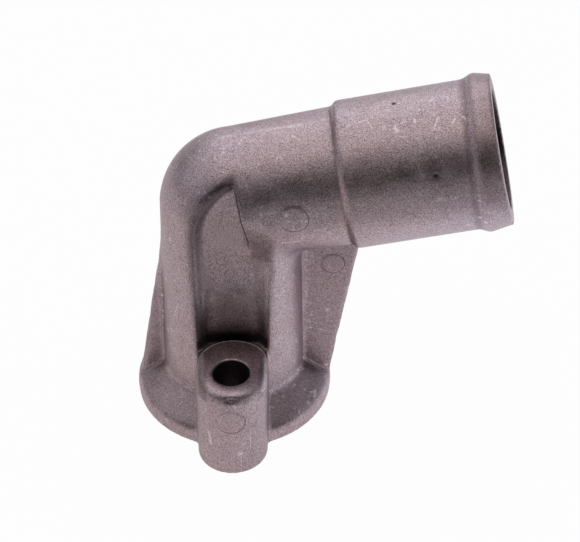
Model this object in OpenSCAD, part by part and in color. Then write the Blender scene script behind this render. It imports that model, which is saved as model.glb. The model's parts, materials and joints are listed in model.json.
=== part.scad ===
// Coolant outlet housing: a one-piece die-cast aluminium elbow.
// A round flange seats on the engine, a riser stands on it, and a hose spigot leaves the bend.
// Origin: centre of the seat face. +Z runs up the riser and +X lies below the outlet.
// The plane Y = 0 is its parting plane, and all but the mouth's end face is symmetric about it.

/* [Flange] */
// Radius of the round flange
flange_r = 27; // [26:0.5:30]
// Height of the flange at its rim
flange_h = 5; // [4:0.5:7]
// Rounding of the rim's upper edge
flange_edge_r = 1.4; // [0.6:0.2:2]
// Slope of the flange's conical top, in degrees
flange_slope = 37; // [30:1:42]

/* [Riser] */
// Outer radius of the riser at the flange
riser_r = 19.3; // [18.6:0.1:20]
// Outer radius at the bend, where riser and neck meet
bend_r = 17.6; // [17.2:0.1:18.2]
// Radius of the bend's centreline
bend_centre_r = 2.6; // [1.5:0.1:4]
// Height at which the outlet axis crosses the riser axis
bend_z = 65.1; // [60:0.5:72]

/* [Outlet] */
// Upward slope of the outlet, in degrees
outlet_slope = 11.1; // [5:0.5:16]
// Length of the neck, from the bend's centre to the foot of the spigot's shoulder
neck_l = 29.3; // [27:0.1:32]
// Outer radius of the neck at the foot of the shoulder
neck_r = 17.8; // [17.6:0.1:18.4]
// Length of the shoulder's slope, from the neck up to the spigot
shoulder_l = 1.7; // [1:0.1:3]
// Outer radius of the hose spigot
spigot_r = 19; // [18.8:0.1:20]
// Length of the spigot from the foot of its shoulder to the middle of the end face
spigot_l = 40.8; // [34:0.1:50]
// Radius at the crest of the hose bead
bead_r = 20.1; // [20.1:0.1:21.2]
// Length of the bead, from its foot to the middle of the end face
bead_l = 7.8; // [6:0.1:9]
// Length of the bead's rise, from its foot to its crest
bead_rise_l = 2.6; // [1.5:0.1:3]
// Outer radius of the end face
bead_tip_r = 19.1; // [18.6:0.1:19.6]
// Angle by which the end face is turned off square to one side, in degrees
mouth_skew = 6.3; // [0:0.1:8]
// Angle by which the end face leans back at its top, in degrees
mouth_lean = 1.6; // [0:0.1:3]

/* [Waterway] */
// Radius of the inlet bore
inlet_bore_r = 15; // [14:0.1:15.4]
// Radius of the waterway at the bend
bend_bore_r = 14.3; // [13.5:0.1:14.6]
// Radius of the outlet bore at the end face
outlet_bore_r = 14.9; // [14.3:0.1:15.4]
// Chamfer at the mouth of the inlet bore
inlet_chamfer = 0.6; // [0.3:0.1:1]
// Wall between the waterway and the bolt pockets
pocket_wall = 4; // [3:0.2:4.6]

/* [Bolt bosses] */
// Distance between the two bolt axes
bolt_spacing = 54.6; // [53.6:0.2:58]
// Radius of the bolt holes
bolt_hole_r = 4.7; // [4.2:0.1:5.3]
// Outer radius of the bolt bosses
boss_r = 9.4; // [8.8:0.1:10]
// Height of the bolt bosses
boss_h = 28; // [22:0.5:32]
// Radius of the rounded back of each boss's pad
pad_r = 9.8; // [9.4:0.1:10.2]
// Distance from the riser axis to the centre of that rounded back
pad_y = 24.3; // [23.8:0.1:25]
// Depth of the trough between the pad and the pocket's floor
trough_h = 1.5; // [0.6:0.1:2.4]

/* [Bolt pockets] */
// Half width of the pocket that clears each bolt's head and socket
pocket_half_w = 9.6; // [9:0.1:10]
// Distance from the riser axis to the pocket's flat floor
pocket_floor_y = 12.8; // [12.2:0.1:14]
// Bevel along the upright corners of the floor
pocket_bevel = 3.2; // [2:0.2:3.6]
// Radius of the pocket's arched top
pocket_arch_r = 19; // [17:0.2:21]
// Depth of the arch's centre below the bend's centre
pocket_arch_drop = 5; // [3:0.1:6]
// Distance from the bend's centre to the end of the neck that borders the pocket
pocket_neck_gap = 4.2; // [3.6:0.1:5]
// Depth below the bend's centre at which that end of the neck runs out
pocket_neck_drop = 5; // [3:0.1:7]
// Height over which the pocket widens below the neck to its full width
pocket_widening_h = 7; // [4:0.5:10]

/* [Gussets] */
// Thickness of the two webs in the parting plane
gusset_t = 5; // [4:0.2:6]
// Distance along the outlet from the bend's centre to the front web's outer corner
front_gusset_s = 31.9; // [31:0.1:36]
// Inset of the webs' feet from the flange rim
gusset_inset = 0.4; // [0.3:0.1:1.5]
// Distance below the bend's centre at which the rear web runs into the riser
rear_gusset_drop = 13; // [8:0.5:20]

/* [Hidden] */
$fn = 96;
// Overshoot of cutters past the faces that they cut
over = 1;
// Length by which the riser and the neck run on into the bend
pipe_lap = 0.5;
// Hair's breadth by which the bend is slimmer than the pipes that run into it
bend_ease = 0.03;
bolt_y = bolt_spacing / 2;
outlet_l = neck_l + spigot_l;
bend_turn = 90 - outlet_slope;
// Length of riser and outlet axis that the bend takes up
bend_l = bend_centre_r * tan(bend_turn / 2);
riser_top_z = bend_z - bend_l + pipe_lap;
neck_start_s = bend_l - pipe_lap;
// Half width of the waterway between the two pockets
throat_half_w = pocket_floor_y - pocket_wall;
// Top of the inlet's full round stretch, a wall below the pocket
round_inlet_h = boss_h - pocket_wall;
// Start of the outlet's full round stretch, a wall past the pocket
round_outlet_s = pocket_neck_gap + pocket_wall;
pocket_reach = bolt_y + boss_r + over;
pocket_foot_z = boss_h - trough_h;
arch_x = pocket_arch_r - pocket_half_w;
arch_z = bend_z - pocket_arch_drop;
// Length by which the skewed end face passes its own middle, with room to spare
mouth_reach = bead_r * tan(mouth_skew + mouth_lean) + over;
// Outer corner of the front web, just inside the spigot
web_top_x = front_gusset_s * cos(outlet_slope) + (neck_r - over) * sin(outlet_slope);
web_top_z = bend_z + front_gusset_s * sin(outlet_slope) - (neck_r - over) * cos(outlet_slope);

// Places its children on the outlet axis, with +Z along the outlet.
module on_outlet() {
    translate([0, 0, bend_z]) rotate([0, bend_turn, 0]) children();
}

// Outer part of a pipe bend of radius r, as wide as half_w on each side.
module pipe_bend(r, half_w) {
    side = half_w - bend_ease;
    translate([bend_centre_r, 0, bend_z - bend_l])
        rotate([90, 0, 0])
            rotate([0, 0, 90 + outlet_slope])
                rotate_extrude(angle = bend_turn)
                    intersection() {
                        translate([bend_centre_r, 0]) circle(r - bend_ease);
                        translate([0, -side]) square([bend_centre_r + r + over, 2 * side]);
                    }
}

// Flange with its conical top and the riser, as one turned profile.
module riser_and_flange() {
    edge_z = flange_h - flange_edge_r;
    cone_r = flange_r - flange_edge_r * (1 - sin(flange_slope));
    cone_z = edge_z + flange_edge_r * cos(flange_slope);
    foot_z = cone_z + (cone_r - riser_r) * tan(flange_slope);
    rotate_extrude() {
        polygon([
            [0, 0], [flange_r, 0], [flange_r, edge_z], [cone_r, cone_z],
            [riser_r, foot_z], [bend_r, riser_top_z], [0, riser_top_z],
        ]);
        translate([flange_r - flange_edge_r, edge_z]) circle(flange_edge_r);
    }
}

// Neck, shoulder, hose spigot and bead as one profile turned about the outlet axis, trimmed at the mouth.
module outlet_outside() {
    bead_foot_s = outlet_l - bead_l;
    crest_s = bead_foot_s + bead_rise_l;
    bead_fall = (bead_r - bead_tip_r) / (outlet_l - crest_s);
    difference() {
        on_outlet()
            rotate_extrude()
                polygon([
                    [0, neck_start_s], [bend_r, neck_start_s], [neck_r, neck_l],
                    [spigot_r, neck_l + shoulder_l], [spigot_r, bead_foot_s], [bead_r, crest_s],
                    [bead_tip_r - bead_fall * mouth_reach, outlet_l + mouth_reach], [0, outlet_l + mouth_reach],
                ]);
        on_outlet()
            translate([0, 0, outlet_l])
                rotate([mouth_skew, -mouth_lean, 0])
                    translate([-2 * bead_r, -2 * bead_r, 0])
                        cube([4 * bead_r, 4 * bead_r, 3 * mouth_reach]);
    }
}

// The two bolt bosses, each rounded at its front and run back into the riser.
module bosses() {
    for (side = [-1, 1])
        linear_extrude(boss_h) {
            translate([0, side * bolt_y]) circle(boss_r);
            translate([-boss_r, side > 0 ? 0 : -bolt_y]) square([2 * boss_r, bolt_y]);
        }
}

// Webs in the parting plane: one under the neck, one behind the riser.
module gussets() {
    foot_x = flange_r - gusset_inset;
    foot_z = flange_h / 2;
    rotate([90, 0, 0])
        linear_extrude(gusset_t, center = true) {
            polygon([[0, foot_z], [foot_x, foot_z], [web_top_x, web_top_z], [0, web_top_z]]);
            polygon([[0, foot_z], [-foot_x, foot_z], [-bend_r, bend_z - rear_gusset_drop], [0, bend_z]]);
        }
}

// Place of the neck's end beside a pocket, at height z.
function neck_end_x(z) = pocket_neck_gap / cos(outlet_slope) - (z - bend_z) * tan(outlet_slope);

// Front view of a pocket: upright sides, an arched top, and the neck's end on the right.
module pocket_front() {
    top_z = arch_z + pocket_arch_r + over;
    neck_z = bend_z - pocket_neck_drop;
    neck_x = neck_end_x(neck_z);
    outer_x = pocket_half_w + over;
    intersection() {
        union() {
            translate([-pocket_half_w, pocket_foot_z])
                square([2 * outer_x, arch_z - pocket_foot_z]);
            translate([arch_x, arch_z]) circle(pocket_arch_r);
        }
        polygon([
            [-outer_x, pocket_foot_z - over],
            [pocket_half_w, pocket_foot_z - over],
            [pocket_half_w, neck_z - pocket_widening_h],
            [neck_x, neck_z],
            [neck_end_x(top_z), top_z],
            [-outer_x, top_z],
        ]);
    }
}

// Plan of a pocket: a flat floor with bevelled corners, open towards the bolt.
module pocket_plan() {
    outer_x = pocket_half_w + over;
    outer_y = -pocket_floor_y - pocket_bevel - over;
    inner_x = pocket_half_w - pocket_bevel;
    polygon([
        [-outer_x, -pocket_reach],
        [-outer_x, outer_y],
        [-inner_x, -pocket_floor_y],
        [inner_x, -pocket_floor_y],
        [outer_x, outer_y],
        [outer_x, -pocket_reach],
    ]);
}

// Room that a boss and its pad keep at the foot of their pocket.
module pad_room() {
    linear_extrude(boss_h) {
        translate([0, -pad_y]) circle(pad_r);
        translate([-pocket_reach, -pocket_reach - over])
            square([2 * pocket_reach, pocket_reach + over - pad_y]);
    }
}

// Relief above one bolt boss, cut into the riser and the bend, with a trough behind the boss's pad.
module pocket() {
    difference() {
        intersection() {
            rotate([90, 0, 0]) linear_extrude(pocket_reach) pocket_front();
            linear_extrude(arch_z + pocket_arch_r + over) pocket_plan();
        }
        pad_room();
    }
}

// Narrows its children to the throat between the two pockets.
module throat() {
    intersection() {
        translate([-flange_r, -throat_half_w, over])
            cube([2 * flange_r, 2 * throat_half_w, bend_z + flange_r]);
        children();
    }
}

// Waterway: round at both mouths, narrowed to a throat between the two pockets.
module waterway() {
    translate([0, 0, -over]) cylinder(h = round_inlet_h + over, r = inlet_bore_r);
    translate([0, 0, -over])
        cylinder(h = inlet_chamfer + over, r1 = inlet_bore_r + inlet_chamfer + over, r2 = inlet_bore_r);
    throat() cylinder(h = riser_top_z, r1 = inlet_bore_r, r2 = bend_bore_r);
    pipe_bend(bend_bore_r, throat_half_w);
    throat()
        on_outlet()
            translate([0, 0, neck_start_s])
                cylinder(h = round_outlet_s - neck_start_s + over, r = bend_bore_r);
    on_outlet()
        translate([0, 0, round_outlet_s])
            cylinder(h = outlet_l + mouth_reach - round_outlet_s, r1 = bend_bore_r, r2 = outlet_bore_r);
}

// The two bolt holes, through the full height of the bosses.
module bolt_holes() {
    for (side = [-1, 1])
        translate([0, side * bolt_y, -over])
            cylinder(h = boss_h + 2 * over, r = bolt_hole_r);
}

// The finished casting.
module housing() {
    color([0.60, 0.55, 0.56])
        difference() {
            union() {
                riser_and_flange();
                pipe_bend(bend_r, bend_r + over);
                outlet_outside();
                bosses();
                gussets();
            }
            pocket();
            mirror([0, 1, 0]) pocket();
            waterway();
            bolt_holes();
        }
}

housing();
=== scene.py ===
"""Studio picture of a die-cast coolant outlet housing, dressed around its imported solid.

The casting is one implicit skin. A Geometry Nodes tree works out, from named sizes, how far each point of a
grid lies from that skin, and meshes it, so the cast fillets and rounded edges come from the same sizes as the
flange, riser, bend, outlet, bosses, pockets and webs that they join. Sizes are in millimetres and the meshes
are in metres, in the part's own frame.
"""

import json
import logging
import math
from collections.abc import Iterable
from dataclasses import dataclass, fields
from enum import Enum
from functools import reduce
from types import SimpleNamespace
from typing import Any

import bpy
from mathutils import Matrix, Vector


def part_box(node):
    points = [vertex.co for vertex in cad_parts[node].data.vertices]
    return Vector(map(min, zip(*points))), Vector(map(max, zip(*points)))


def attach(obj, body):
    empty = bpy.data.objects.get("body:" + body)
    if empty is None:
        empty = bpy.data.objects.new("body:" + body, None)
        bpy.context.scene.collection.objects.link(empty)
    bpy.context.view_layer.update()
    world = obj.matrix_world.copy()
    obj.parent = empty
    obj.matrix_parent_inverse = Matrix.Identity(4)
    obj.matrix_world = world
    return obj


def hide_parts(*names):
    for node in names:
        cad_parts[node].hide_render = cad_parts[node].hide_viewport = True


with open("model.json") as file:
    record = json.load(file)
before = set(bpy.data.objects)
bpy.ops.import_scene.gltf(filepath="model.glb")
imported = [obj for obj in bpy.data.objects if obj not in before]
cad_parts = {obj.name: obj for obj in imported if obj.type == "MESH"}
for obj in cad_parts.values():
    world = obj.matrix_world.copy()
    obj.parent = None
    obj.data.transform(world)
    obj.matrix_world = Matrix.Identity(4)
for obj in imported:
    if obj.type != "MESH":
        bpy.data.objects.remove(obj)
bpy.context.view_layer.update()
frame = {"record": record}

LOG = logging.getLogger("housing")
MM = 0.001
NODE = "housing"
CONVEXITY = "convexity"
# A smooth minimum reaches this many times the radius of the round fillet that it stands for
BLEND_PER_RADIUS = 1.757
# Added to a pipe's distance where that pipe doesn't reach
FAR = 500.0
# Sockets of a Mix node that mixes colours
MIX_SHARE, MIX_FIRST, MIX_SECOND, MIX_RESULT = 0, 6, 7, 2
# Fractal noise varies about this value
NOISE_MIDDLE = 0.5
WHITE = (1.0, 1.0, 1.0, 1.0)
BLACK = (0.0, 0.0, 0.0, 1.0)
# Operations of a Math node and of a Vector Math node
Maths = Enum(
    "Maths",
    "ADD SUBTRACT MULTIPLY DIVIDE POWER MINIMUM MAXIMUM SMOOTH_MIN SMOOTH_MAX GREATER_THAN LESS_THAN "
    "ABSOLUTE SQRT SINE COSINE TANGENT ARCTAN2",
)
VectorMaths = Enum("VectorMaths", "ADD SUBTRACT SCALE DOT_PRODUCT DISTANCE")
# A node's properties or inputs, where it has any
Options = dict[Any, Any] | None


class Mixing(Enum):
    """Ways in which a Mix node puts one colour with another."""

    OVER = "MIX"
    ADDED = "ADD"


class Value:
    """A number socket of a node tree, with Python's operators standing for Math nodes."""

    def __init__(self, tree: "Tree", socket: bpy.types.NodeSocket) -> None:
        """Keeps the socket and the tree that it belongs to."""
        self.tree = tree
        self.socket = socket

    def maths(self, operation: Maths, *operands: Any) -> "Value":
        """Adds one Math node.

        Args:
            operation: The Math node's operation.
            operands: Its inputs in order, as values or plain numbers.

        Returns:
            The node's result.
        """
        made = self.tree.node("ShaderNodeMath", {"operation": operation.name}, dict(enumerate(operands)))
        return Value(self.tree, made.outputs[0])

    def __add__(self, other: Any) -> "Value":
        """Sum of two values."""
        return self.maths(Maths.ADD, self, other)

    def __radd__(self, other: float) -> "Value":
        """Sum of a number and this value."""
        return self.maths(Maths.ADD, other, self)

    def __sub__(self, other: Any) -> "Value":
        """Difference of two values."""
        return self.maths(Maths.SUBTRACT, self, other)

    def __rsub__(self, other: float) -> "Value":
        """A number less this value."""
        return self.maths(Maths.SUBTRACT, other, self)

    def __mul__(self, other: Any) -> "Value":
        """Product of two values."""
        return self.maths(Maths.MULTIPLY, self, other)

    def __rmul__(self, other: float) -> "Value":
        """Product of a number and this value."""
        return self.maths(Maths.MULTIPLY, other, self)

    def __truediv__(self, other: Any) -> "Value":
        """Quotient of two values."""
        return self.maths(Maths.DIVIDE, self, other)

    def __neg__(self) -> "Value":
        """This value with its sign changed."""
        return self.maths(Maths.MULTIPLY, self, -1.0)

    def __abs__(self) -> "Value":
        """Size of this value without its sign."""
        return self.wave(Maths.ABSOLUTE)

    def __gt__(self, other: Any) -> "Value":
        """One where this value is the greater, and nought elsewhere."""
        return self.maths(Maths.GREATER_THAN, self, other)

    def __lt__(self, other: Any) -> "Value":
        """One where this value is the lesser, and nought elsewhere."""
        return self.maths(Maths.LESS_THAN, self, other)

    def least(self, other: Any) -> "Value":
        """The lesser of two values, which is a plain union of two distances."""
        return self.maths(Maths.MINIMUM, self, other)

    def most(self, other: Any) -> "Value":
        """The greater of two values, which is a plain intersection of two distances."""
        return self.maths(Maths.MAXIMUM, self, other)

    def join(self, other: "Value", fillet_r: Any) -> "Value":
        """Union of two distances with a fillet of about that radius in the corner."""
        return self.maths(Maths.SMOOTH_MIN, self, other, fillet_r * BLEND_PER_RADIUS)

    def trim(self, other: "Value", edge_r: Any) -> "Value":
        """Intersection of two distances with an edge rounded to about that radius."""
        return self.maths(Maths.SMOOTH_MAX, self, other, edge_r * BLEND_PER_RADIUS)

    def wave(self, operation: Maths) -> "Value":
        """This value through a Math node with one input, such as a cosine or a square root."""
        return self.maths(operation, self)

    def radians(self) -> "Value":
        """This value from degrees to radians."""
        return self * (math.pi / 180.0)

    def hypot(self, other: "Value") -> "Value":
        """Length of the vector with these two components."""
        return (self * self + other * other).wave(Maths.SQRT)

    def ramp(self, low: Any, high: Any) -> "Value":
        """Smooth step from nought at low to one at high."""
        return self.tree.value(
            "ShaderNodeMapRange",
            "Result",
            {"interpolation_type": "SMOOTHSTEP"},
            {"Value": self, "From Min": low, "From Max": high},
        )

    def fade(self, low: Any, high: Any) -> "Value":
        """Smooth step from one at low to nought at high."""
        return 1.0 - self.ramp(low, high)


def strongest(values: Iterable[Value]) -> Value:
    """The greatest of several values at each point."""
    return reduce(Value.most, values)


class Tree:
    """A node tree under construction, for geometry, a material or the world."""

    def __init__(self, nodes: bpy.types.NodeTree) -> None:
        """Keeps Blender's own tree."""
        self.nodes = nodes

    def node(self, kind: str, settings: Options = None, inputs: Options = None) -> bpy.types.Node:
        """Adds one node.

        Args:
            kind: The node's type.
            settings: Its properties, which are set first.
            inputs: Values, links or plain settings for its sockets, by name or number.

        Returns:
            The new node.
        """
        made = self.nodes.nodes.new(kind)
        for name, setting in (settings or {}).items():
            setattr(made, name, setting)
        for key, given in (inputs or {}).items():
            self.feed(made.inputs[key], given)
        return made

    def feed(self, socket: bpy.types.NodeSocket, given: Any) -> None:
        """Links a value to a socket, or sets the socket's own number.

        Args:
            socket: The socket to fill.
            given: A value, another node's socket or a plain setting.
        """
        if isinstance(given, Value):
            given = given.socket
        if isinstance(given, bpy.types.NodeSocket):
            self.nodes.links.new(given, socket)
        else:
            socket.default_value = given

    def value(self, kind: str, output: Any, settings: Options = None, inputs: Options = None) -> Value:
        """Adds one node and returns one of its outputs as a value."""
        return Value(self, self.node(kind, settings, inputs).outputs[output])

    def split(self, vector: bpy.types.NodeSocket) -> tuple[Value, ...]:
        """The three components of a vector socket."""
        parts = self.node("ShaderNodeSeparateXYZ", inputs={0: vector})
        return tuple(Value(self, socket) for socket in parts.outputs)

    def blend(
        self, share: Any, first: Any, second: Any, way: Mixing = Mixing.OVER
    ) -> bpy.types.NodeSocket:
        """Mixes two colours.

        Args:
            share: How much of the second colour there is.
            first: A colour or a colour socket.
            second: A colour or a colour socket.
            way: How the second colour is put with the first.

        Returns:
            The mixed colour's socket.
        """
        made = self.node(
            "ShaderNodeMix",
            {"data_type": "RGBA", "blend_type": way.value},
            {MIX_SHARE: share, MIX_FIRST: first, MIX_SECOND: second},
        )
        return made.outputs[MIX_RESULT]

    def vector(
        self, operation: VectorMaths, first: Any, second: Any = None, scale: Any = None
    ) -> bpy.types.NodeSocket:
        """Adds one Vector Math node that gives a vector.

        Args:
            operation: The node's operation.
            first: A vector or a vector socket.
            second: Another one, where the operation takes two.
            scale: The factor, where the operation is a scaling.

        Returns:
            The resulting vector's socket.
        """
        inputs = {0: first, 1: second, "Scale": scale}
        given = {key: one for key, one in inputs.items() if one is not None}
        return self.node("ShaderNodeVectorMath", {"operation": operation.name}, given).outputs[0]

    def measure(self, operation: VectorMaths, first: Any, second: Any) -> Value:
        """Adds one Vector Math node that gives a number, such as a distance."""
        settings = {"operation": operation.name}
        return self.value("ShaderNodeVectorMath", "Value", settings, {0: first, 1: second})

    def noise(self, place: bpy.types.NodeSocket, wave_mm: float, detail: float) -> Value:
        """Fractal noise about a half, with waves of about that length."""
        inputs = {"Vector": place, "Scale": 1.0 / (wave_mm * MM), "Detail": detail}
        return self.value("ShaderNodeTexNoise", 0, inputs=inputs)


@dataclass
class CastingSizes:
    """Sizes of the casting, in millimetres and degrees."""

    flange_r: float = 27.0
    flange_corner_h: float = 4.35
    flange_slope: float = 37.0
    flange_edge_r: float = 1.4
    foot_fillet_r: float = 0.9
    riser_foot_r: float = 19.4
    riser_top_r: float = 18.15
    bend_centre_r: float = 2.6
    pivot_reach: float = 9.0
    bend_z: float = 65.1
    outlet_slope: float = 11.1
    neck_root_r: float = 17.1
    neck_r: float = 17.75
    neck_l: float = 29.2
    crotch_fillet_r: float = 3.2
    shoulder_l: float = 1.0
    shoulder_edge_r: float = 0.8
    shoulder_fillet_r: float = 0.15
    spigot_r: float = 19.0
    outlet_l: float = 69.9
    mouth_skew: float = 3.7
    mouth_lean: float = 3.2
    bead_r: float = 20.2
    bead_l: float = 7.8
    bead_skew: float = 3.0
    bead_rise_l: float = 2.4
    bead_tip_r: float = 19.1
    bead_round_r: float = 0.5
    bead_fillet_r: float = 0.3
    inlet_bore_r: float = 15.0
    bend_bore_r: float = 14.3
    outlet_bore_r: float = 15.1
    inlet_chamfer: float = 0.6
    throat_half_w: float = 8.8
    round_inlet_h: float = 24.0
    round_outlet_s: float = 8.2
    bolt_y: float = 27.3
    bolt_hole_r: float = 4.7
    boss_r: float = 9.35
    boss_h: float = 28.0
    boss_edge_r: float = 3.0
    boss_fillet_r: float = 1.2
    pad_x: float = 0.4
    pad_y: float = 24.3
    pad_r: float = 9.7
    trough_h: float = 2.6
    pocket_floor_y: float = 12.9
    pocket_floor_lean: float = 0.012
    pocket_x: float = 0.4
    pocket_half_w: float = 7.9
    pocket_taper: float = 0.018
    pocket_draft: float = 0.5
    pocket_arch_x: float = 10.6
    pocket_arch_z: float = 60.6
    pocket_arch_r: float = 18.1
    pocket_fillet_r: float = 1.6
    pocket_edge_r: float = 2.2
    crease_fillet_r: float = 0.3
    neck_end_s: float = 3.4
    neck_end_z: float = 61.3
    neck_corner_r: float = 3.0
    neck_corner_h: float = 6.0
    ceiling_z: float = 54.8
    ceiling_x: float = 5.0
    ceiling_fall: float = 0.85
    ceiling_draft: float = 2.6
    web_t: float = 5.0
    web_edge_r: float = 1.0
    web_fillet_r: float = 0.8
    web_top_z: float = 60.0
    front_web_foot_x: float = 26.6
    front_web_foot_z: float = 3.3
    front_web_top_x: float = 34.5
    front_web_top_z: float = 53.6
    rear_web_foot_x: float = -26.3
    rear_web_foot_z: float = 5.5
    rear_web_top_x: float = -18.5
    rear_web_top_z: float = 50.7
    trimmed_edge_r: float = 0.3
    web_wave: float = 0.5
    skin_wave: float = 0.07
    ridge_h: float = 0.06

    @classmethod
    def from_record(cls, record: dict[str, Any]) -> "CastingSizes":
        """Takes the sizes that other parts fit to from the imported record's mounts.

        Args:
            record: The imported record.

        Returns:
            The casting's sizes.
        """
        dims = {mount["name"]: mount["dims"] for mount in record["mounts"]}
        return cls(
            bolt_y=dims["bolt_holes"]["spacing_y_mm"] / 2,
            bolt_hole_r=dims["bolt_holes"]["hole_r_mm"],
            inlet_bore_r=dims["inlet_bore"]["r_mm"],
            spigot_r=dims["hose_spigot"]["r_mm"],
        )


@dataclass(frozen=True)
class EjectorMark:
    """Round witness of an ejector pin on the front half, which stands slightly proud of the skin."""

    x: float
    z: float
    r: float
    proud: float = 0.16
    edge: float = 0.15


@dataclass(frozen=True)
class Pit:
    """Small hole in the skin, with a dark stain round it."""

    x: float
    y: float
    z: float
    r: float
    stain_r: float


@dataclass(frozen=True)
class Nick:
    """Oval knock in an edge that runs along X."""

    x: float
    y: float
    z: float
    half_w: float
    depth: float


@dataclass(frozen=True)
class Stroke:
    """Short bright rub or scratch on the skin, between two places."""

    start: tuple[float, float, float]
    end: tuple[float, float, float]
    half_w: float
    level: float


EJECTOR_MARKS = (
    EjectorMark(x=16.1, z=69.6, r=3.6),
    EjectorMark(x=26.8, z=43.9, r=3.1),
    EjectorMark(x=-0.1, z=18.8, r=3.7, proud=0.08),
)
NICK = Nick(x=0.1, y=-36.65, z=26.65, half_w=2.7, depth=0.95)
PITS = (
    Pit(x=50.1, y=-17.5, z=82.9, r=0.62, stain_r=2.6),
    Pit(x=40.5, y=-0.3, z=92.5, r=0.45, stain_r=0.9),
)
STROKES = (
    Stroke((40.0, -8.2, 90.4), (41.4, -9.1, 90.2), 0.26, 0.9),
    Stroke((40.5, -7.7, 90.7), (40.7, -9.5, 89.9), 0.22, 0.9),
    Stroke((50.8, -7.5, 92.9), (50.2, -8.9, 92.0), 0.22, 0.8),
    Stroke((50.2, -8.9, 92.0), (49.7, -10.2, 91.2), 0.16, 0.7),
    Stroke((32.0, -4.9, 90.1), (33.9, -4.7, 90.5), 0.20, 0.6),
    Stroke((33.9, -4.7, 90.5), (34.8, -7.0, 89.9), 0.16, 0.6),
    Stroke((42.5, -10.6, 89.5), (41.4, -10.3, 89.4), 0.20, 0.6),
    Stroke((54.0, -9.3, 92.6), (54.8, -8.5, 93.2), 0.22, 0.7),
    Stroke((56.7, -8.1, 93.8), (57.1, -8.9, 93.5), 0.22, 0.6),
    Stroke((58.3, -9.5, 93.5), (59.2, -9.2, 93.9), 0.22, 0.6),
    Stroke((15.9, -4.1, 85.5), (17.6, -5.6, 85.3), 0.22, 0.6),
    Stroke((17.6, -5.6, 85.3), (19.1, -7.0, 85.1), 0.18, 0.5),
    Stroke((-7.4, -9.9, 78.2), (-3.7, -11.8, 77.4), 0.25, 0.35),
    Stroke((9.7, -16.9, 71.2), (11.4, -16.9, 71.5), 0.35, 0.45),
    Stroke((13.4, -16.4, 61.7), (17.7, -16.1, 62.2), 0.25, 0.5),
    Stroke((-13.9, -12.6, 38.7), (-15.5, -10.4, 31.5), 0.18, 0.45),
    Stroke((-16.0, -9.9, 41.9), (-15.9, -10.0, 37.9), 0.18, 0.4),
    Stroke((-5.9, -34.4, 13.5), (-5.5, -34.8, 9.6), 0.38, 0.9),
    Stroke((9.2, -16.4, 52.9), (11.4, -15.0, 54.3), 0.2, 0.45),
    Stroke((-3.5, 0.6, 82.3), (7.0, 0.1, 84.6), 0.50, 0.45),
    Stroke((7.0, 0.1, 84.6), (17.7, -0.7, 86.7), 0.50, 0.45),
)


class Place:
    """A point in millimetres in a node tree, with the measures that the skin and its finish share."""

    def __init__(self, tree: Tree, place: bpy.types.NodeSocket, sizes: Any, cos: Any, sin: Any) -> None:
        """Works out the point's coordinates.

        Args:
            tree: The tree.
            place: The point's coordinates in metres.
            sizes: The casting's sizes, as numbers or as values of the tree.
            cos: Cosine of the outlet's slope.
            sin: Sine of the outlet's slope.
        """
        self.tree = tree
        self.place = place
        self.s = sizes
        self.cos, self.sin = cos, sin
        self.x, self.y, self.z = (part * (1.0 / MM) for part in tree.split(place))
        self.side = abs(self.y)
        rise = self.z - sizes.bend_z
        self.along = self.x * cos + rise * sin
        self.across = rise * cos - self.x * sin
        self.from_riser = self.x.hypot(self.y)
        self.from_outlet = self.across.hypot(self.y)

    def from_spot(self, spot: Pit) -> Value:
        """Distance from the middle of a pit."""
        return (self.x - spot.x).hypot(self.y - spot.y).hypot(self.z - spot.z)

    def past_hole(self) -> Value:
        """Distance out from the wall of the nearer bolt hole."""
        return self.x.hypot(self.side - self.s.bolt_y) - self.s.bolt_hole_r

    def past_pad(self) -> Value:
        """Distance out from the round back edge of the nearer bolt pad."""
        behind = (self.s.pad_y - self.side).most(0.0)
        return (self.x - self.s.pad_x).hypot(behind) - self.s.pad_r

    def past_arch(self) -> Value:
        """Distance out from a pocket's arched wall, before it narrows."""
        over_arch = (self.z - self.s.pocket_arch_z).most(0.0)
        return (self.x - self.s.pocket_arch_x).least(0.0).hypot(over_arch) - self.s.pocket_arch_r

    def narrowing(self) -> Value:
        """How far a pocket's wall has come in below its arch."""
        return (self.s.pocket_arch_z - self.z).most(0.0) * self.s.pocket_taper


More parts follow.
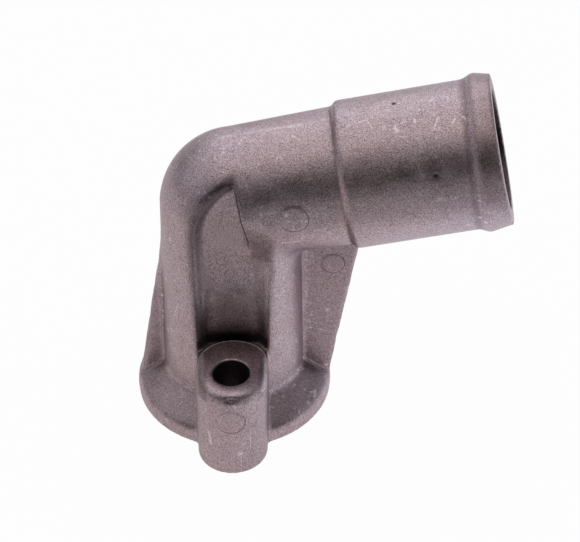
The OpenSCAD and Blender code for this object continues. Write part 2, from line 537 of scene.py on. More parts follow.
class SkinField(Place):
    """Distance in millimetres from a point to the casting's skin, as a field in a geometry tree."""

    def __init__(self, tree: Tree, sizes: SimpleNamespace) -> None:
        """Reads the coordinates, and works out the bend.

        Args:
            tree: The geometry tree.
            sizes: The tree's inputs as values, by the names of the casting's sizes.
        """
        slope = sizes.outlet_slope.radians()
        place = tree.node("GeometryNodeInputPosition").outputs[0]
        super().__init__(tree, place, sizes, slope.wave(Maths.COSINE), slope.wave(Maths.SINE))
        self.turn = math.pi / 2.0 - slope
        self.bend_l = sizes.bend_centre_r * (self.turn * 0.5).wave(Maths.TANGENT)

    def neck_radius(self, root_r: Value, end_r: Value, end_s: Value) -> Value:
        """Radius along the outlet of a pipe that widens from the bend to end_s."""
        share = ((self.along - self.bend_l) / (end_s - self.bend_l)).least(1.0)
        return root_r + (end_r - root_r) * share

    def pipe(
        self, foot_r: Value, top_r: Value, root_r: Value, end_r: Value, end_s: Value, crotch_r: Any
    ) -> Value:
        """Pipe up the riser, round the bend and along the outlet.

        Args:
            foot_r: Radius at the flange.
            top_r: Radius where the riser runs into the bend.
            root_r: Radius where the bend runs into the outlet.
            end_r: Radius at end_s along the outlet.
            end_s: Place along the outlet from which the radius stays the same.
            crotch_r: Fillet between riser and outlet, inside the bend.

        Returns:
            Distance to the pipe.
        """
        s = self.s
        top_z = s.bend_z - self.bend_l
        over_top = self.z - top_z
        past_bend = self.along - self.bend_l
        reach = self.x - s.bend_centre_r
        pivot_r = (top_r + root_r) * 0.5
        spread = s.pivot_reach * 1.5
        up_riser = (self.z - s.flange_corner_h) / (top_z - s.flange_corner_h)
        riser_r = foot_r + (top_r - foot_r) * up_riser
        inside = reach.ramp(-s.pivot_reach, 0.0) * over_top.ramp(-spread, 0.0)
        riser = self.from_riser - riser_r - (pivot_r - top_r) * inside + FAR * (over_top > 0.0)
        under = (-self.across).ramp(s.bend_centre_r - s.pivot_reach, s.bend_centre_r)
        under = under * past_bend.fade(0.0, spread)
        outlet_r = self.neck_radius(root_r, end_r, end_s) + (pivot_r - root_r) * under
        outlet = self.from_outlet - outlet_r + FAR * (past_bend < 0.0)
        turned = over_top.maths(Maths.ARCTAN2, over_top, -reach) / self.turn
        from_pivot = reach.hypot(over_top)
        bend_r = pivot_r + (top_r - pivot_r + (root_r - top_r) * turned) * from_pivot.ramp(0.0, s.pivot_reach)
        from_line = (from_pivot - s.bend_centre_r).hypot(self.y)
        bend = from_line - bend_r + FAR * ((over_top < 0.0) + (past_bend > 0.0))
        inside_bend = self.x.ramp(s.pocket_half_w - 3.0, s.pocket_half_w + 4.0)
        return riser.join(outlet, crotch_r * inside_bend).least(bend)

    def tube(self) -> Value:
        """Outside of riser, bend, neck, spigot and bead, trimmed at the mouth.

        Returns:
            Distance to the tube.
        """
        s = self.s
        pipe = self.pipe(s.riser_foot_r, s.riser_top_r, s.neck_root_r, s.neck_r, s.neck_l, s.crotch_fillet_r)
        rise = (self.along - s.neck_l) / s.shoulder_l
        shoulder = self.from_outlet - (s.neck_r + (s.spigot_r - s.neck_r) * rise)
        collar = (self.from_outlet - s.spigot_r).trim(shoulder, s.shoulder_edge_r)
        foot_s = s.outlet_l - s.bead_l + self.y * s.bead_skew.radians().wave(Maths.TANGENT)
        crest_s = foot_s + s.bead_rise_l
        rise_r = s.spigot_r + (s.bead_r - s.spigot_r) * ((self.along - foot_s) / s.bead_rise_l)
        fall_r = s.bead_r - (s.bead_r - s.bead_tip_r) * ((self.along - crest_s) / (s.outlet_l - crest_s))
        bead = (self.from_outlet - rise_r).trim(self.from_outlet - fall_r, s.bead_round_r)
        outside = pipe.join(collar, s.shoulder_fillet_r).join(bead, s.bead_fillet_r)
        skew = s.mouth_skew.radians()
        lean = s.mouth_lean.radians()
        turned = self.y * skew.wave(Maths.TANGENT) - self.across * lean.wave(Maths.TANGENT)
        past_mouth = (self.along - s.outlet_l - turned) * skew.wave(Maths.COSINE)
        return outside.trim(past_mouth, s.trimmed_edge_r)

    def flange(self) -> Value:
        """Round flange with a conical top and a rounded rim.

        Returns:
            Distance to the flange.
        """
        s = self.s
        slope = s.flange_slope.radians()
        inset = s.flange_r - self.from_riser
        over_cone = (self.z - s.flange_corner_h) * slope.wave(Maths.COSINE) - inset * slope.wave(Maths.SINE)
        return (-inset).trim(over_cone, s.flange_edge_r)

    def past_line(self, foot_x: Value, foot_z: Value, top_x: Value, top_z: Value) -> Value:
        """Distance to the right of a straight line in the parting plane.

        Args:
            foot_x: The foot's place across.
            foot_z: The foot's height.
            top_x: The top's place across.
            top_z: The top's height.

        Returns:
            The distance, which is negative to the left.
        """
        run = top_x - foot_x
        climb = top_z - foot_z
        return ((self.x - foot_x) * climb - (self.z - foot_z) * run) / run.hypot(climb)

    def webs(self) -> Value:
        """The two webs in the parting plane, with trimmed and slightly wavy edges.

        Returns:
            Distance to the nearer web.
        """
        s = self.s
        wave = self.tree.noise(self.place, 5.0, 1.0) * s.web_wave
        front = self.past_line(s.front_web_foot_x, s.front_web_foot_z, s.front_web_top_x, s.front_web_top_z)
        rear = self.past_line(s.rear_web_foot_x, s.rear_web_foot_z, s.rear_web_top_x, s.rear_web_top_z)
        outline = front.most(-rear) + wave
        return (self.side - s.web_t * 0.5).trim(outline, s.web_edge_r).most(self.z - s.web_top_z)

    def crisp(self) -> Value:
        """Where a pocket's corners stay crisp.

        Returns:
            One along the end of the neck beside a pocket, and nought round the rest of it.
        """
        s = self.s
        beside = self.z.ramp(s.neck_end_z - s.neck_corner_h, s.neck_end_z)
        off = self.x - self.neck_end_x()
        return beside * self.x.ramp(s.pocket_x - 2.0, s.pocket_x + 1.0) * off.fade(0.8, 2.8)

    def neck_end_x(self) -> Value:
        """Place across of the neck's square end, at each height."""
        return (self.s.neck_end_s - (self.z - self.s.bend_z) * self.sin) / self.cos

    def pocket(self) -> Value:
        """Room for the bolt heads: a floor, drafted walls, an arched top and the neck's end on the right.

        Returns:
            Distance to the nearer pocket's room.
        """
        s = self.s
        depth = self.side - s.pocket_floor_y + (self.z - s.boss_h) * s.pocket_floor_lean
        narrower = self.narrowing() - depth * s.pocket_draft
        left = self.past_arch() + narrower
        wider = depth * s.pocket_draft * self.z.ramp(s.ceiling_z - 9.0, s.ceiling_z)
        ceiling = self.z - s.ceiling_z - depth * s.ceiling_draft + (self.x - s.ceiling_x) * s.ceiling_fall
        below_neck = (self.x - s.pocket_x - s.pocket_half_w + narrower - wider).trim(ceiling, s.neck_corner_r)
        beside_neck = self.x - self.neck_end_x()
        right = beside_neck.most(s.ceiling_z - s.neck_corner_h - self.z).least(below_neck)
        slant = (s.pocket_draft * s.pocket_draft + 1.0).wave(Maths.SQRT)
        fillet_r = s.pocket_fillet_r + (s.crease_fillet_r - s.pocket_fillet_r) * self.crisp()
        foot = s.boss_h - s.trough_h - self.z
        return (-depth).trim(left.most(right) / slant, fillet_r).trim(foot, s.pocket_fillet_r)

    def bosses(self) -> Value:
        """The two bolt bosses run back into the riser, each with a raised pad that is round at the back.

        Returns:
            Distance to the nearer boss.
        """
        s = self.s
        plan = self.x.hypot((self.side - s.bolt_y).most(0.0)) - s.boss_r
        edge_r = s.boss_edge_r * (0.2 + 0.8 * self.side.ramp(s.pad_y - 8.0, s.pad_y))
        pad = plan.trim(self.z - s.boss_h, edge_r).trim(self.past_pad(), s.trimmed_edge_r)
        return plan.most(self.z - s.boss_h + s.trough_h).least(pad)

    def waterway(self) -> Value:
        """Waterway: round at both mouths, narrowed to a throat between the pockets.

        Returns:
            Distance to the waterway.
        """
        s = self.s
        bore = self.pipe(s.inlet_bore_r, s.bend_bore_r, s.bend_bore_r, s.outlet_bore_r, s.outlet_l, 0.0)
        throat = bore.trim(self.side - s.throat_half_w, s.pocket_fillet_r)
        flare = (s.inlet_chamfer - self.z).most(0.0)
        inlet = (self.from_riser - s.inlet_bore_r - flare).trim(self.z - s.round_inlet_h, s.pocket_fillet_r)
        outlet_r = self.neck_radius(s.bend_bore_r, s.outlet_bore_r, s.outlet_l)
        outlet = (self.from_outlet - outlet_r).trim(s.round_outlet_s - self.along, s.pocket_fillet_r)
        return throat.least(inlet).least(outlet)

    def marks(self, skin: Value) -> Value:
        """Raises the ejector marks and the parting ridge on a skin.

        Args:
            skin: Distance to the skin without them.

        Returns:
            Distance to the skin with them.
        """
        front = self.y < 0.0
        for mark in EJECTOR_MARKS:
            off_centre = (self.x - mark.x).hypot(self.z - mark.z)
            disc = off_centre.fade(mark.r - mark.edge, mark.r + mark.edge)
            skin = skin - mark.proud * disc * front
        bead_foot_s = self.s.outlet_l - self.s.bead_l
        on_tube = (self.along < bead_foot_s) * (self.z > self.s.boss_h)
        ridge = self.side.fade(0.1, 0.6)
        return skin - ridge * on_tube * self.s.ridge_h

    def pits(self, skin: Value) -> Value:
        """Sinks the pits and the nick into a skin.

        Args:
            skin: Distance to the skin without them.

        Returns:
            Distance to the skin with them.
        """
        for pit in PITS:
            skin = skin.trim(-(self.from_spot(pit) - pit.r), 0.15)
        along = (self.x - NICK.x) * (NICK.depth / NICK.half_w)
        scoop = along.hypot(self.y - NICK.y).hypot(self.z - NICK.z) - NICK.depth
        return skin.trim(-scoop, 0.2)

    def casting(self) -> Value:
        """The finished casting.

        Returns:
            Distance to the casting's skin.
        """
        s = self.s
        skin = self.tube().join(self.flange(), s.foot_fillet_r).join(self.webs(), s.web_fillet_r)
        edge_r = s.pocket_edge_r + (s.trimmed_edge_r - s.pocket_edge_r) * self.crisp()
        skin = skin.trim(-self.pocket(), edge_r)
        below_top = self.z.fade(s.boss_h - 5.0, s.boss_h - s.trough_h)
        skin = skin.join(self.bosses(), s.boss_fillet_r * below_top)
        skin = skin + self.tree.noise(self.place, 9.0, 2.0) * s.skin_wave
        skin = self.pits(self.marks(skin))
        skin = skin.trim(-self.waterway(), s.trimmed_edge_r).trim(-self.past_hole(), s.trimmed_edge_r)
        return skin.trim(-self.z, s.trimmed_edge_r).most(-self.x - s.flange_r + 0.05)


@dataclass(frozen=True)
class Texture:
    """One scale of light and dark in the metal's tone."""

    wave_mm: float
    detail: float
    dark_at: float
    pale_at: float
    dark_share: float
    pale_share: float


@dataclass(frozen=True)
class ShadeAndDirtLevels:
    """Share of the metal's tone that painted shade, stains or plain darkening hide, by place."""

    # Painted shade: corner, bolt_hole, waterway, pocket_left, pocket_arch, pocket_right, neck_end, trough,
    # pad, mark_ring_shade and bead_foot; pit_stain is a real stain; web, flange and bead are plain darkening.
    corner: float = 0.45
    pit_stain: float = 0.50
    web: float = 0.38
    flange: float = 0.28
    bead_foot: float = 0.45
    bead: float = 0.24
    bolt_hole: float = 0.72
    waterway: float = 0.85
    pocket_left: float = 0.44
    pocket_arch: float = 0.68
    pocket_right: float = 0.30
    neck_end: float = 0.80
    trough: float = 0.92
    pad: float = 0.50
    mark_ring_shade: float = 0.60


@dataclass(frozen=True)
class CastFinish:
    """Shot-blasted die casting: warm grey satin metal with fine grain, rubs and stains, with painted shade in
    its corners, holes and pockets.
    """

    sizes: CastingSizes
    name: str = "shot_blasted_casting"
    colour: tuple[float, ...] = (0.510, 0.394, 0.410, 1.0)
    lilac: tuple[float, ...] = (0.490, 0.386, 0.425, 1.0)
    pale: tuple[float, ...] = (0.78, 0.66, 0.69, 1.0)
    bright: tuple[float, ...] = (0.96, 0.86, 0.88, 1.0)
    dark: tuple[float, ...] = (0.20, 0.138, 0.147, 1.0)
    # Near-black of the painted shade in the pits, bores and pockets and round the ejector marks.
    soot: tuple[float, ...] = (0.014, 0.009, 0.010, 1.0)
    mottle: Texture = Texture(4.0, 5.0, 0.28, 0.75, 0.35, 0.30)
    grain: Texture = Texture(0.60, 3.0, 0.28, 0.72, 0.28, 0.22)
    speckle: Texture = Texture(0.26, 2.0, 0.34, 0.66, 0.78, 0.70)
    dirt: ShadeAndDirtLevels = ShadeAndDirtLevels()
    roughness: float = 0.42
    cloud_mm: float = 22.0
    ding_mm: float = 2.2
    ding_level: float = 0.8
    warp_mm: float = 0.35
    worn_share: float = 0.6
    rub_share: float = 0.72
    # Share of pale in the painted highlight on the pads' back edges, and how much less metallic that line is.
    pad_highlight_share: float = 0.7
    pad_edge_dullness: float = 0.75
    bump_m: float = 0.00006

    def material(self) -> bpy.types.Material:
        """Builds the material.

        Returns:
            The finished material.
        """
        made = bpy.data.materials.new(self.name)
        made.use_nodes = True
        made.node_tree.nodes.clear()
        tree = Tree(made.node_tree)
        at = FinishField(tree, self)
        textures = (self.mottle, self.grain, self.speckle)
        noises = [tree.noise(at.place, scale.wave_mm, scale.detail) for scale in textures]
        mottle, grain, speckle = noises
        cloud = tree.noise(at.place, self.cloud_mm, 3.0)
        convexity = tree.value("ShaderNodeAttribute", "Fac", {"attribute_name": CONVEXITY})
        pits, stains = at.pit_shade_and_stains()
        worn = convexity.ramp(0.05, 0.16) * mottle.ramp(0.50, 0.66) * grain.ramp(0.40, 0.60) * (1.0 - stains)
        # Painted shade where the skin is concave.
        corners = convexity.fade(-0.10, -0.02)
        rubs = at.strokes().most(at.dings() * cloud.ramp(0.40, 0.62)) * grain.ramp(0.25, 0.55)
        # Painted highlight: a pale, less metallic line on each pad's back edge.
        edges = at.pad_edge_highlight()
        tone = tree.blend(cloud.ramp(0.35, 0.65), self.colour, self.lilac)
        for scale, noise in zip(textures, noises):
            tone = tree.blend(noise.ramp(NOISE_MIDDLE, scale.pale_at) * scale.pale_share, tone, self.pale)
            tone = tree.blend(noise.fade(scale.dark_at, NOISE_MIDDLE) * scale.dark_share, tone, self.dark)
        # Darkened by painted shade in concave corners, by the real stains round the pits and by the low
        # darkening.
        darkening = strongest((corners * self.dirt.corner, stains * self.dirt.pit_stain, at.low_darkening()))
        tone = tree.blend(darkening, tone, self.dark)
        tone = tree.blend(worn * self.worn_share, tone, self.pale)
        tone = tree.blend(rubs * self.rub_share, tone, self.bright)
        # Painted shade in near-black: inside the pits, bores and pockets and round the ejector marks.
        deep_shade = strongest((pits, at.bore_shade(), at.pocket_shade(), at.ring_shade_lines()))
        tone = tree.blend(deep_shade, tone, self.soot)
        # Painted highlight on the pads' back edges.
        tone = tree.blend(edges * self.pad_highlight_share, tone, self.pale)
        rough = (mottle - NOISE_MIDDLE) * 0.20 + (grain - NOISE_MIDDLE) * 0.12 - worn * 0.06
        height = speckle * 0.6 + grain * 0.8 - rubs * 0.3
        bump = tree.node("ShaderNodeBump", inputs={"Distance": self.bump_m, "Height": height})
        shader = tree.node(
            "ShaderNodeBsdfPrincipled",
            inputs={
                "Base Color": tone,
                "Metallic": 1.0 - edges * self.pad_edge_dullness,
                "Roughness": self.roughness + rough,
                "Normal": bump.outputs[0],
            },
        )
        tree.node("ShaderNodeOutputMaterial", inputs={"Surface": shader.outputs[0]})
        return made


class FinishField(Place):
    """Where the skin is rubbed, worn or stained, and where shade and highlights are painted on it, as values
    in a material's tree.
    """

    def __init__(self, tree: Tree, finish: CastFinish) -> None:
        """Reads the skin's coordinates.

        Args:
            tree: The material's tree.
            finish: The finish.
        """
        slope = math.radians(finish.sizes.outlet_slope)
        place = tree.node("ShaderNodeTexCoord").outputs["Object"]
        super().__init__(tree, place, finish.sizes, math.cos(slope), math.sin(slope))
        self.finish = finish
        self.dirt = finish.dirt

    def dings(self) -> Value:
        """Sparse bright knocks all over: specks and short rubs.

        Returns:
            The knocks' level on a knock, and nought elsewhere.
        """
        wave_mm = self.finish.ding_mm
        specks = self.tree.noise(self.place, wave_mm, 2.0).ramp(0.63, 0.71)
        turned = self.tree.node(
            "ShaderNodeMapping",
            inputs={"Vector": self.place, "Rotation": (0.4, 0.9, 0.3), "Scale": (1.0, 1.0, 0.16)},
        )
        rubs = self.tree.noise(turned.outputs[0], wave_mm * 0.6, 1.0).ramp(0.70, 0.78)
        return specks.most(rubs) * self.finish.ding_level

    def strokes(self) -> Value:
        """The rubs and scratches that the part shows, slightly crooked.

        Returns:
            Each stroke's level along it, and nought elsewhere.
        """
        tree = self.tree
        inputs = {"Vector": self.place, "Scale": 0.6 / MM, "Detail": 1.0}
        wave = tree.node("ShaderNodeTexNoise", inputs=inputs).outputs["Color"]
        off = tree.vector(VectorMaths.SUBTRACT, wave, (NOISE_MIDDLE,) * 3)
        shift = tree.vector(VectorMaths.SCALE, off, scale=2.0 * self.finish.warp_mm * MM)
        bent = tree.vector(VectorMaths.ADD, self.place, shift)
        lines = []
        for stroke in STROKES:
            start, half_w = Vector(stroke.start) * MM, stroke.half_w * MM
            run = Vector(stroke.end) * MM - start
            from_start = tree.vector(VectorMaths.SUBTRACT, bent, start)
            share = tree.measure(VectorMaths.DOT_PRODUCT, from_start, run) / run.length_squared
            along = tree.vector(VectorMaths.SCALE, run, scale=share.most(0.0).least(1.0))
            gap = tree.measure(VectorMaths.DISTANCE, from_start, along)
            lines.append(gap.fade(half_w * 0.6, half_w * 1.8) * stroke.level)
        return strongest(lines)

    def ring_shade_lines(self) -> Value:
        """Painted shade: a fine dark line round each ejector mark, strongest at its lower right where the
        mark's edge is shaded.

        Returns:
            The painted shade's share, from nought to one.
        """
        lines = []
        for mark in EJECTOR_MARKS:
            right, rise = self.x - mark.x, self.z - mark.z
            low_right = (right * 0.6 - rise * 0.8) / mark.r
            line = abs(right.hypot(rise) - mark.r).fade(0.06, 0.26)
            lines.append(line * (0.25 + 0.75 * low_right.ramp(-0.5, 0.6)))
        return strongest(lines) * (self.y < 0.0) * self.dirt.mark_ring_shade

    def pit_shade_and_stains(self) -> tuple[Value, Value]:
        """Painted shade inside the pits, and the real stains round them.

        Returns:
            One inside the pits, and one on the stains, each fading to nought.
        """
        offs = [(pit, self.from_spot(pit)) for pit in PITS]
        pits = strongest(off.fade(pit.r * 0.6, pit.r * 1.4) for pit, off in offs)
        stains = strongest(off.fade(pit.r, pit.stain_r) for pit, off in offs)
        return pits, stains

    def bore_shade(self) -> Value:
        """Painted shade inside the bolt holes and the waterway.

        Returns:
            The painted shade's share, from nought to one.
        """
        s = self.s
        outlet = self.from_outlet.fade(s.outlet_bore_r, s.outlet_bore_r + 0.4) * (self.x > s.riser_foot_r)
        riser = self.from_riser.fade(s.inlet_bore_r, s.inlet_bore_r + 0.4)
        in_throat = (self.side < s.throat_half_w + 1.0).most(self.z < s.boss_h - 6.0)
        riser = riser * in_throat * (self.z < s.bend_z - s.riser_top_r)
        hole = self.past_hole().fade(0.15, 0.45)
        return (hole * self.dirt.bolt_hole).most(outlet.most(riser) * self.dirt.waterway)

    def pad_edge_highlight(self) -> Value:
        """Painted highlight: a pale line along the round back edge of each bolt pad.

        Returns:
            One on the line and nought elsewhere.
        """
        s = self.s
        line = abs(self.past_pad() + 0.3).fade(0.2, 0.5)
        back = self.side.fade(s.pad_y - 6.5, s.pad_y - 3.0) * (self.side > s.pocket_floor_y)
        return line * back * (self.z > s.boss_h - 0.8) * (self.z < s.boss_h + 0.3)

    def low_darkening(self) -> Value:
        """Darkening of the webs' faces, the flange's top and the bead, and painted shade in the groove at the
        bead's foot.

        Returns:
            The darkening's share, from nought to one.
        """
        s, dirt = self.s, self.dirt
        beside = self.side.fade(s.web_t * 0.5 + 0.3, s.web_t * 0.5 + 1.5)
        webs = beside * abs(self.x).ramp(s.riser_foot_r, s.riser_foot_r + 1.5) * (self.z < s.web_top_z - 4.0)
        on_top = self.z.ramp(s.flange_corner_h - 0.5, s.flange_corner_h + 1.5) * self.z.fade(9.0, 11.5)
        off_boss = abs(self.x).ramp(9.0, 10.5)
        flange = on_top * self.from_riser.ramp(s.riser_foot_r, s.riser_foot_r + 1.0) * off_boss
        past_foot = self.along - (s.outlet_l - s.bead_l) - self.y * math.tan(math.radians(s.bead_skew))
        # Painted shade along the groove at the bead's foot.
        groove = abs(past_foot + 0.1).fade(0.3, 1.3)
        bead = past_foot.ramp(0.8, 2.0) * self.z.ramp(s.bend_z + 6.0, s.bend_z + 16.0)
        return strongest((webs * dirt.web, flange * dirt.flange, groove * dirt.bead_foot, bead * dirt.bead))

    def pocket_shade(self) -> Value:
        """Painted shade in the pockets: on their walls, along the neck's end, in the troughs behind the pads
        and on the pads' tops.

        Returns:
            The painted shade's share, from nought to one.
        """
        s, dirt = self.s, self.dirt
        x, z, side = self.x, self.z, self.side
        past_left = self.past_arch() + self.narrowing()
        past_right = x - s.pocket_x - s.pocket_half_w + self.narrowing()
        left = past_left.ramp(-1.2, -0.1) * past_left.fade(1.2, 4.2) * x.fade(0.5, 3.0)
        left = left * (dirt.pocket_left + (dirt.pocket_arch - dirt.pocket_left) * z.ramp(48.0, 66.0))
        right = past_right.ramp(-1.5, -0.2) * past_right.fade(0.2, 1.2) * z.fade(44.0, 54.0)
        walls = left.most(right * dirt.pocket_right)
        walls = walls * side.ramp(s.pocket_floor_y - 3.0, s.pocket_floor_y - 1.5)
        beside_neck = z.ramp(s.neck_end_z - 2.5, s.neck_end_z) * z.fade(74.5, 77.0)
        on_wall = (side > s.pocket_floor_y - 2.0) * (side < s.neck_r)
        neck_end = abs(self.along - s.neck_end_s - 0.12).fade(0.24, 0.44) * beside_neck * on_wall
        sheltered = abs(x).fade(s.boss_r - 1.6, s.boss_r) * (side < s.pad_y)
        low = (z + x * x * 0.06).fade(s.boss_h - 1.0, s.boss_h + 6.5)
        trough = self.past_pad().ramp(0.05, 0.35) * sheltered * low
        pad = side.fade(s.pad_y - 9.0, s.pad_y + 3.0) * (abs(x) < s.boss_r) * (z < s.boss_h + 0.5)
        painted_shade = strongest((walls, neck_end * dirt.neck_end, trough * dirt.trough, pad * dirt.pad))
        return painted_shade * (z > s.boss_h - 4.0) * (side > s.pocket_floor_y - 3.0)


@dataclass
class Casting:
    """The housing's cast body."""

    sizes: CastingSizes
    finish: CastFinish
    name: str = "cast_housing"
    voxel_mm: float = 0.45
    margin_mm: float = 2.0
    most_triangles: int = 195_000

    def skin_tree(self) -> tuple[bpy.types.NodeTree, dict[str, float]]:
        """Builds the tree that makes the skin.

        Returns:
            The tree, and the value of each of its inputs by the socket's identifier.
        """
        nodes = bpy.data.node_groups.new("casting_skin", "GeometryNodeTree")
        tree = Tree(nodes)
        given: dict[str, float] = {}
        for size in fields(self.sizes):
            label = size.name.replace("_", " ")
            socket = nodes.interface.new_socket(label, in_out="INPUT", socket_type="NodeSocketFloat")
            given[socket.identifier] = getattr(self.sizes, size.name)
        nodes.interface.new_socket("Geometry", in_out="OUTPUT", socket_type="NodeSocketGeometry")
        inlets = tree.node("NodeGroupInput").outputs
        named = zip(fields(self.sizes), inlets)
        dials = SimpleNamespace(**{size.name: Value(tree, inlet) for size, inlet in named})
        depth = -SkinField(tree, dials).casting()
        low, high = (Vector(corner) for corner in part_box(NODE))
        margin = Vector((self.margin_mm * MM,) * 3)
        span = (high - low + 2 * margin) / (self.voxel_mm * MM)
        inputs = {"Density": depth, "Background": -FAR, "Min": low - margin, "Max": high + margin}
        inputs |= {f"Resolution {axis}": math.ceil(steps) for axis, steps in zip("XYZ", span)}
        cube = tree.node("GeometryNodeVolumeCube", inputs=inputs)
        skin = tree.node("GeometryNodeVolumeToMesh", inputs={"Volume": cube.outputs[0], "Threshold": 0.0})
        tree.node("NodeGroupOutput", inputs={0: skin.outputs[0]})
        return nodes, given

    def dress_tree(self, material: bpy.types.Material) -> bpy.types.NodeTree:
        """Builds the tree that marks the skin's edges and corners and gives it its finish.

        Args:
            material: The finish's material.

        Returns:
            The tree.
        """
        nodes = bpy.data.node_groups.new("casting_dress", "GeometryNodeTree")
        tree = Tree(nodes)
        nodes.interface.new_socket("Geometry", in_out="INPUT", socket_type="NodeSocketGeometry")
        nodes.interface.new_socket("Geometry", in_out="OUTPUT", socket_type="NodeSocketGeometry")
        skin = tree.node("NodeGroupInput").outputs[0]
        place = tree.node("GeometryNodeInputPosition").outputs[0]
        blurred = tree.node(
            "GeometryNodeBlurAttribute", {"data_type": "FLOAT_VECTOR"}, {"Value": place, "Iterations": 4}
        )
        off = tree.vector(VectorMaths.SUBTRACT, place, blurred.outputs[0])
        outward = tree.node("GeometryNodeInputNormal").outputs[0]
        bulge = tree.measure(VectorMaths.DOT_PRODUCT, off, outward)
        stored = tree.node(
            "GeometryNodeStoreNamedAttribute",
            {"data_type": "FLOAT", "domain": "POINT"},
            {"Geometry": skin, "Name": CONVEXITY, "Value": bulge * (1.0 / MM)},
        )
        smooth = tree.node("GeometryNodeSetShadeSmooth", inputs={0: stored.outputs[0]})
        real = tree.node("GeometryNodeRealizeInstances", inputs={0: smooth.outputs[0]})
        finished = tree.node(
            "GeometryNodeSetMaterial", inputs={"Geometry": real.outputs[0], "Material": material}
        )
        tree.node("NodeGroupOutput", inputs={0: finished.outputs[0]})
        return nodes

    def build(self) -> bpy.types.Object:
        """Makes the casting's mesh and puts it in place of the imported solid.

        Returns:
            The finished piece.
        """
        piece = bpy.data.objects.new(self.name, bpy.data.meshes.new(self.name + "_start"))
        bpy.context.scene.collection.objects.link(piece)
        skin = piece.modifiers.new("skin", "NODES")
        nodes, given = self.skin_tree()
        skin.node_group = nodes
        for identifier, number in given.items():
            skin[identifier] = number
        full = self.evaluated(piece)
        triangles = sum(len(face.vertices) - 2 for face in full.polygons)
        piece.modifiers.clear()
        piece.data = full
        thin = piece.modifiers.new("thin", "DECIMATE")
        thin.ratio = min(1.0, self.most_triangles / triangles)
        dress = piece.modifiers.new("dress", "NODES")
        dress.node_group = self.dress_tree(self.finish.material())
        piece.data = self.evaluated(piece)
        piece.modifiers.clear()
        piece.data.name = self.name
        LOG.info("%s: %d triangles, thinned from %d", self.name, len(piece.data.polygons), triangles)
        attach(piece, "root")
        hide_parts(NODE)
        return piece

    def evaluated(self, piece: bpy.types.Object) -> bpy.types.Mesh:
        """The plain mesh that a piece's modifiers make."""
        graph = bpy.context.evaluated_depsgraph_get()
        return bpy.data.meshes.new_from_object(piece.evaluated_get(graph))


@dataclass(frozen=True)
class Glow:
    """A soft bright patch of the studio dome."""

    name: str
    azimuth: float
    elevation: float
    level: float
    tint: tuple[float, ...] = WHITE
    sharpness: float = 12.0

    def centre(self) -> tuple[float, float, float]:
        """Works out where the patch lies, with the azimuth counted from behind to the right.

        Returns:
            Direction of the patch's middle.
        """
        azimuth, elevation = math.radians(self.azimuth), math.radians(self.elevation)
        flat = math.cos(elevation)
        return (math.sin(azimuth) * flat, math.cos(azimuth) * flat, math.sin(elevation))


GLOWS = (
    Glow("behind", 0.0, 35.0, 1.16, (0.98, 1.0, 1.04, 1.0)),
    Glow("behind_above", 0.0, 65.0, 0.55),
    Glow("above", 180.0, 76.0, 1.10, (1.0, 0.93, 0.90, 1.0), 26.0),
    Glow("right", 90.0, 15.0, 0.52, (0.97, 0.99, 1.06, 1.0)),
    Glow("left", -90.0, 35.0, 0.68, (0.98, 0.98, 1.04, 1.0)),
)


@dataclass(frozen=True)
class StudioDome:
    """Soft studio surroundings, bright behind, above and beside the part and dim towards the camera."""

    glows: tuple[Glow, ...] = GLOWS

    def build(self) -> bpy.types.World:
        """Makes the world and puts it in the scene.

        Returns:
            The world.
        """
        made = bpy.data.worlds.new("studio_dome")
        bpy.context.scene.world = made
        made.use_nodes = True
        made.node_tree.nodes.clear()
        tree = Tree(made.node_tree)
        way = tree.node("ShaderNodeTexCoord").outputs["Generated"]
        sky: Any = BLACK
        for glow in self.glows:
            facing = tree.measure(VectorMaths.DOT_PRODUCT, way, glow.centre())
            share = ((facing + 1.0) * 0.5).most(0.0)
            level = share.maths(Maths.POWER, share, glow.sharpness) * glow.level
            sky = tree.blend(level, sky, glow.tint, Mixing.ADDED)
            LOG.info("dome: glow %s at %.2f", glow.name, glow.level)
        glowing = tree.node("ShaderNodeBackground", inputs={"Color": sky, "Strength": 1.0})
        plain = tree.node("ShaderNodeBackground", inputs={"Color": WHITE, "Strength": 1.0})
        seen = tree.node("ShaderNodeLightPath").outputs["Is Camera Ray"]
        shown = tree.node("ShaderNodeMixShader", inputs={0: seen, 1: glowing.outputs[0], 2: plain.outputs[0]})
        tree.node("ShaderNodeOutputWorld", inputs={"Surface": shown.outputs[0]})
        return made


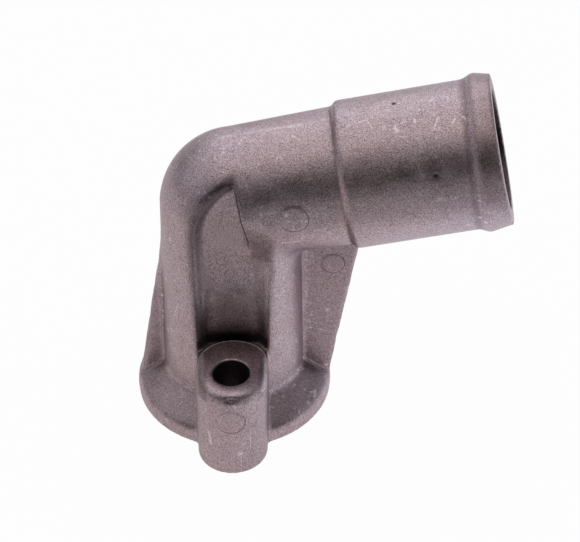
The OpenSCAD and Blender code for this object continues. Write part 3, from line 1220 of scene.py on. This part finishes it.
@dataclass(frozen=True)
class Floor:
    """Pale floor that shows white round the part and keeps the part's shadow, with painted light in metal
    that is brighter to the right and ends out in front.
    """

    half_side: float = 3.0
    drop: float = 0.0002
    colour: tuple[float, ...] = (0.8, 0.8, 0.8, 1.0)
    white_to_camera: float = 0.975
    # Painted light in metal: the share of white at the left and at the right, and where it ends out in front.
    white_at_left: float = 0.49
    white_at_right: float = 0.93
    left_x: float = -0.03
    right_x: float = 0.07
    white_from_y: float = -0.080
    white_to_y: float = -0.055
    tint_at_left: tuple[float, ...] = (1.0, 0.94, 0.94, 1.0)
    tint_at_right: tuple[float, ...] = (0.98, 1.0, 1.06, 1.0)

    def material(self) -> bpy.types.Material:
        """Builds pale matt paint that shows white to the camera, and in metal painted light that is brighter
        and cooler to the right, warmer to the left, and ends out in front.

        Returns:
            The floor's material.
        """
        made = bpy.data.materials.new("pale_floor")
        made.use_nodes = True
        made.node_tree.nodes.clear()
        tree = Tree(made.node_tree)
        ray = tree.node("ShaderNodeLightPath").outputs
        in_metal = Value(tree, ray["Is Glossy Ray"]).most(Value(tree, ray["Is Transmission Ray"]))
        x, y, _ = tree.split(tree.node("ShaderNodeTexCoord").outputs["Object"])
        # Painted light: the white that metal sees grows from left to right and fades out in front, tinted
        # warm at the left and cool at the right.
        to_right = x.ramp(self.left_x, self.right_x)
        share = self.white_at_left + (self.white_at_right - self.white_at_left) * to_right
        in_metal = in_metal * share * y.ramp(self.white_from_y, self.white_to_y)
        by_camera = Value(tree, ray["Is Camera Ray"])
        white = (by_camera * self.white_to_camera).most(in_metal)
        tint = tree.blend(to_right, self.tint_at_left, self.tint_at_right)
        tint = tree.blend(by_camera, tint, WHITE)
        matt = tree.node("ShaderNodeBsdfDiffuse", inputs={"Color": self.colour})
        glow = tree.node("ShaderNodeEmission", inputs={"Color": tint, "Strength": 1.0})
        mixed = tree.node("ShaderNodeMixShader", inputs={0: white, 1: matt.outputs[0], 2: glow.outputs[0]})
        tree.node("ShaderNodeOutputMaterial", inputs={"Surface": mixed.outputs[0]})
        return made

    def build(self) -> bpy.types.Object:
        """Makes the floor as a flat square sheet.

        Returns:
            The floor's object.
        """
        sheet = bpy.data.meshes.new("floor")
        ends = (-self.half_side, self.half_side)
        corners = [(x, y, -self.drop) for y in ends for x in ends]
        sheet.from_pydata(corners, [], [(0, 1, 3, 2)])
        sheet.materials.append(self.material())
        made = bpy.data.objects.new("floor", sheet)
        bpy.context.scene.collection.objects.link(made)
        return made


@dataclass(frozen=True)
class PhotoCamera:
    """Camera at the photograph's viewing angle."""

    elevation: float = 39.09
    azimuth: float = -0.91
    roll: float = 0.35
    distance: float = 0.39458
    target: tuple[float, float, float] = (0.01546, 0.0, 0.03941)
    focal_px: float = 1475.18
    image_w_px: float = 580.0
    sensor_w: float = 36.0

    def build(self) -> bpy.types.Object:
        """Makes the camera and puts it in the scene.

        Returns:
            The camera's object.
        """
        lens = bpy.data.cameras.new("camera")
        lens.sensor_width = self.sensor_w
        lens.lens = self.focal_px / self.image_w_px * self.sensor_w
        lens.clip_start = 0.01
        made = bpy.data.objects.new("camera", lens)
        azimuth, elevation = math.radians(self.azimuth), math.radians(self.elevation)
        flat = math.cos(elevation)
        back = Vector((math.sin(azimuth) * flat, -math.cos(azimuth) * flat, math.sin(elevation)))
        right = Vector((math.cos(azimuth), math.sin(azimuth), 0.0))
        turned = Matrix((right, back.cross(right), back)).transposed().to_4x4()
        made.matrix_world = (
            Matrix.Translation(Vector(self.target) + back * self.distance)
            @ turned
            @ Matrix.Rotation(math.radians(self.roll), 4, "Z")
        )
        bpy.context.scene.collection.objects.link(made)
        bpy.context.scene.camera = made
        return made


def main() -> None:
    """Builds the stage and the casting, and reports each piece."""
    logging.basicConfig(level=logging.INFO, format="%(name)s: %(message)s")
    bpy.context.scene.view_settings.view_transform = "Standard"
    PhotoCamera().build()
    StudioDome().build()
    Floor().build()
    sizes = CastingSizes.from_record(frame["record"])
    piece = Casting(sizes, CastFinish(sizes)).build()


if __name__ == "__main__":
    main()
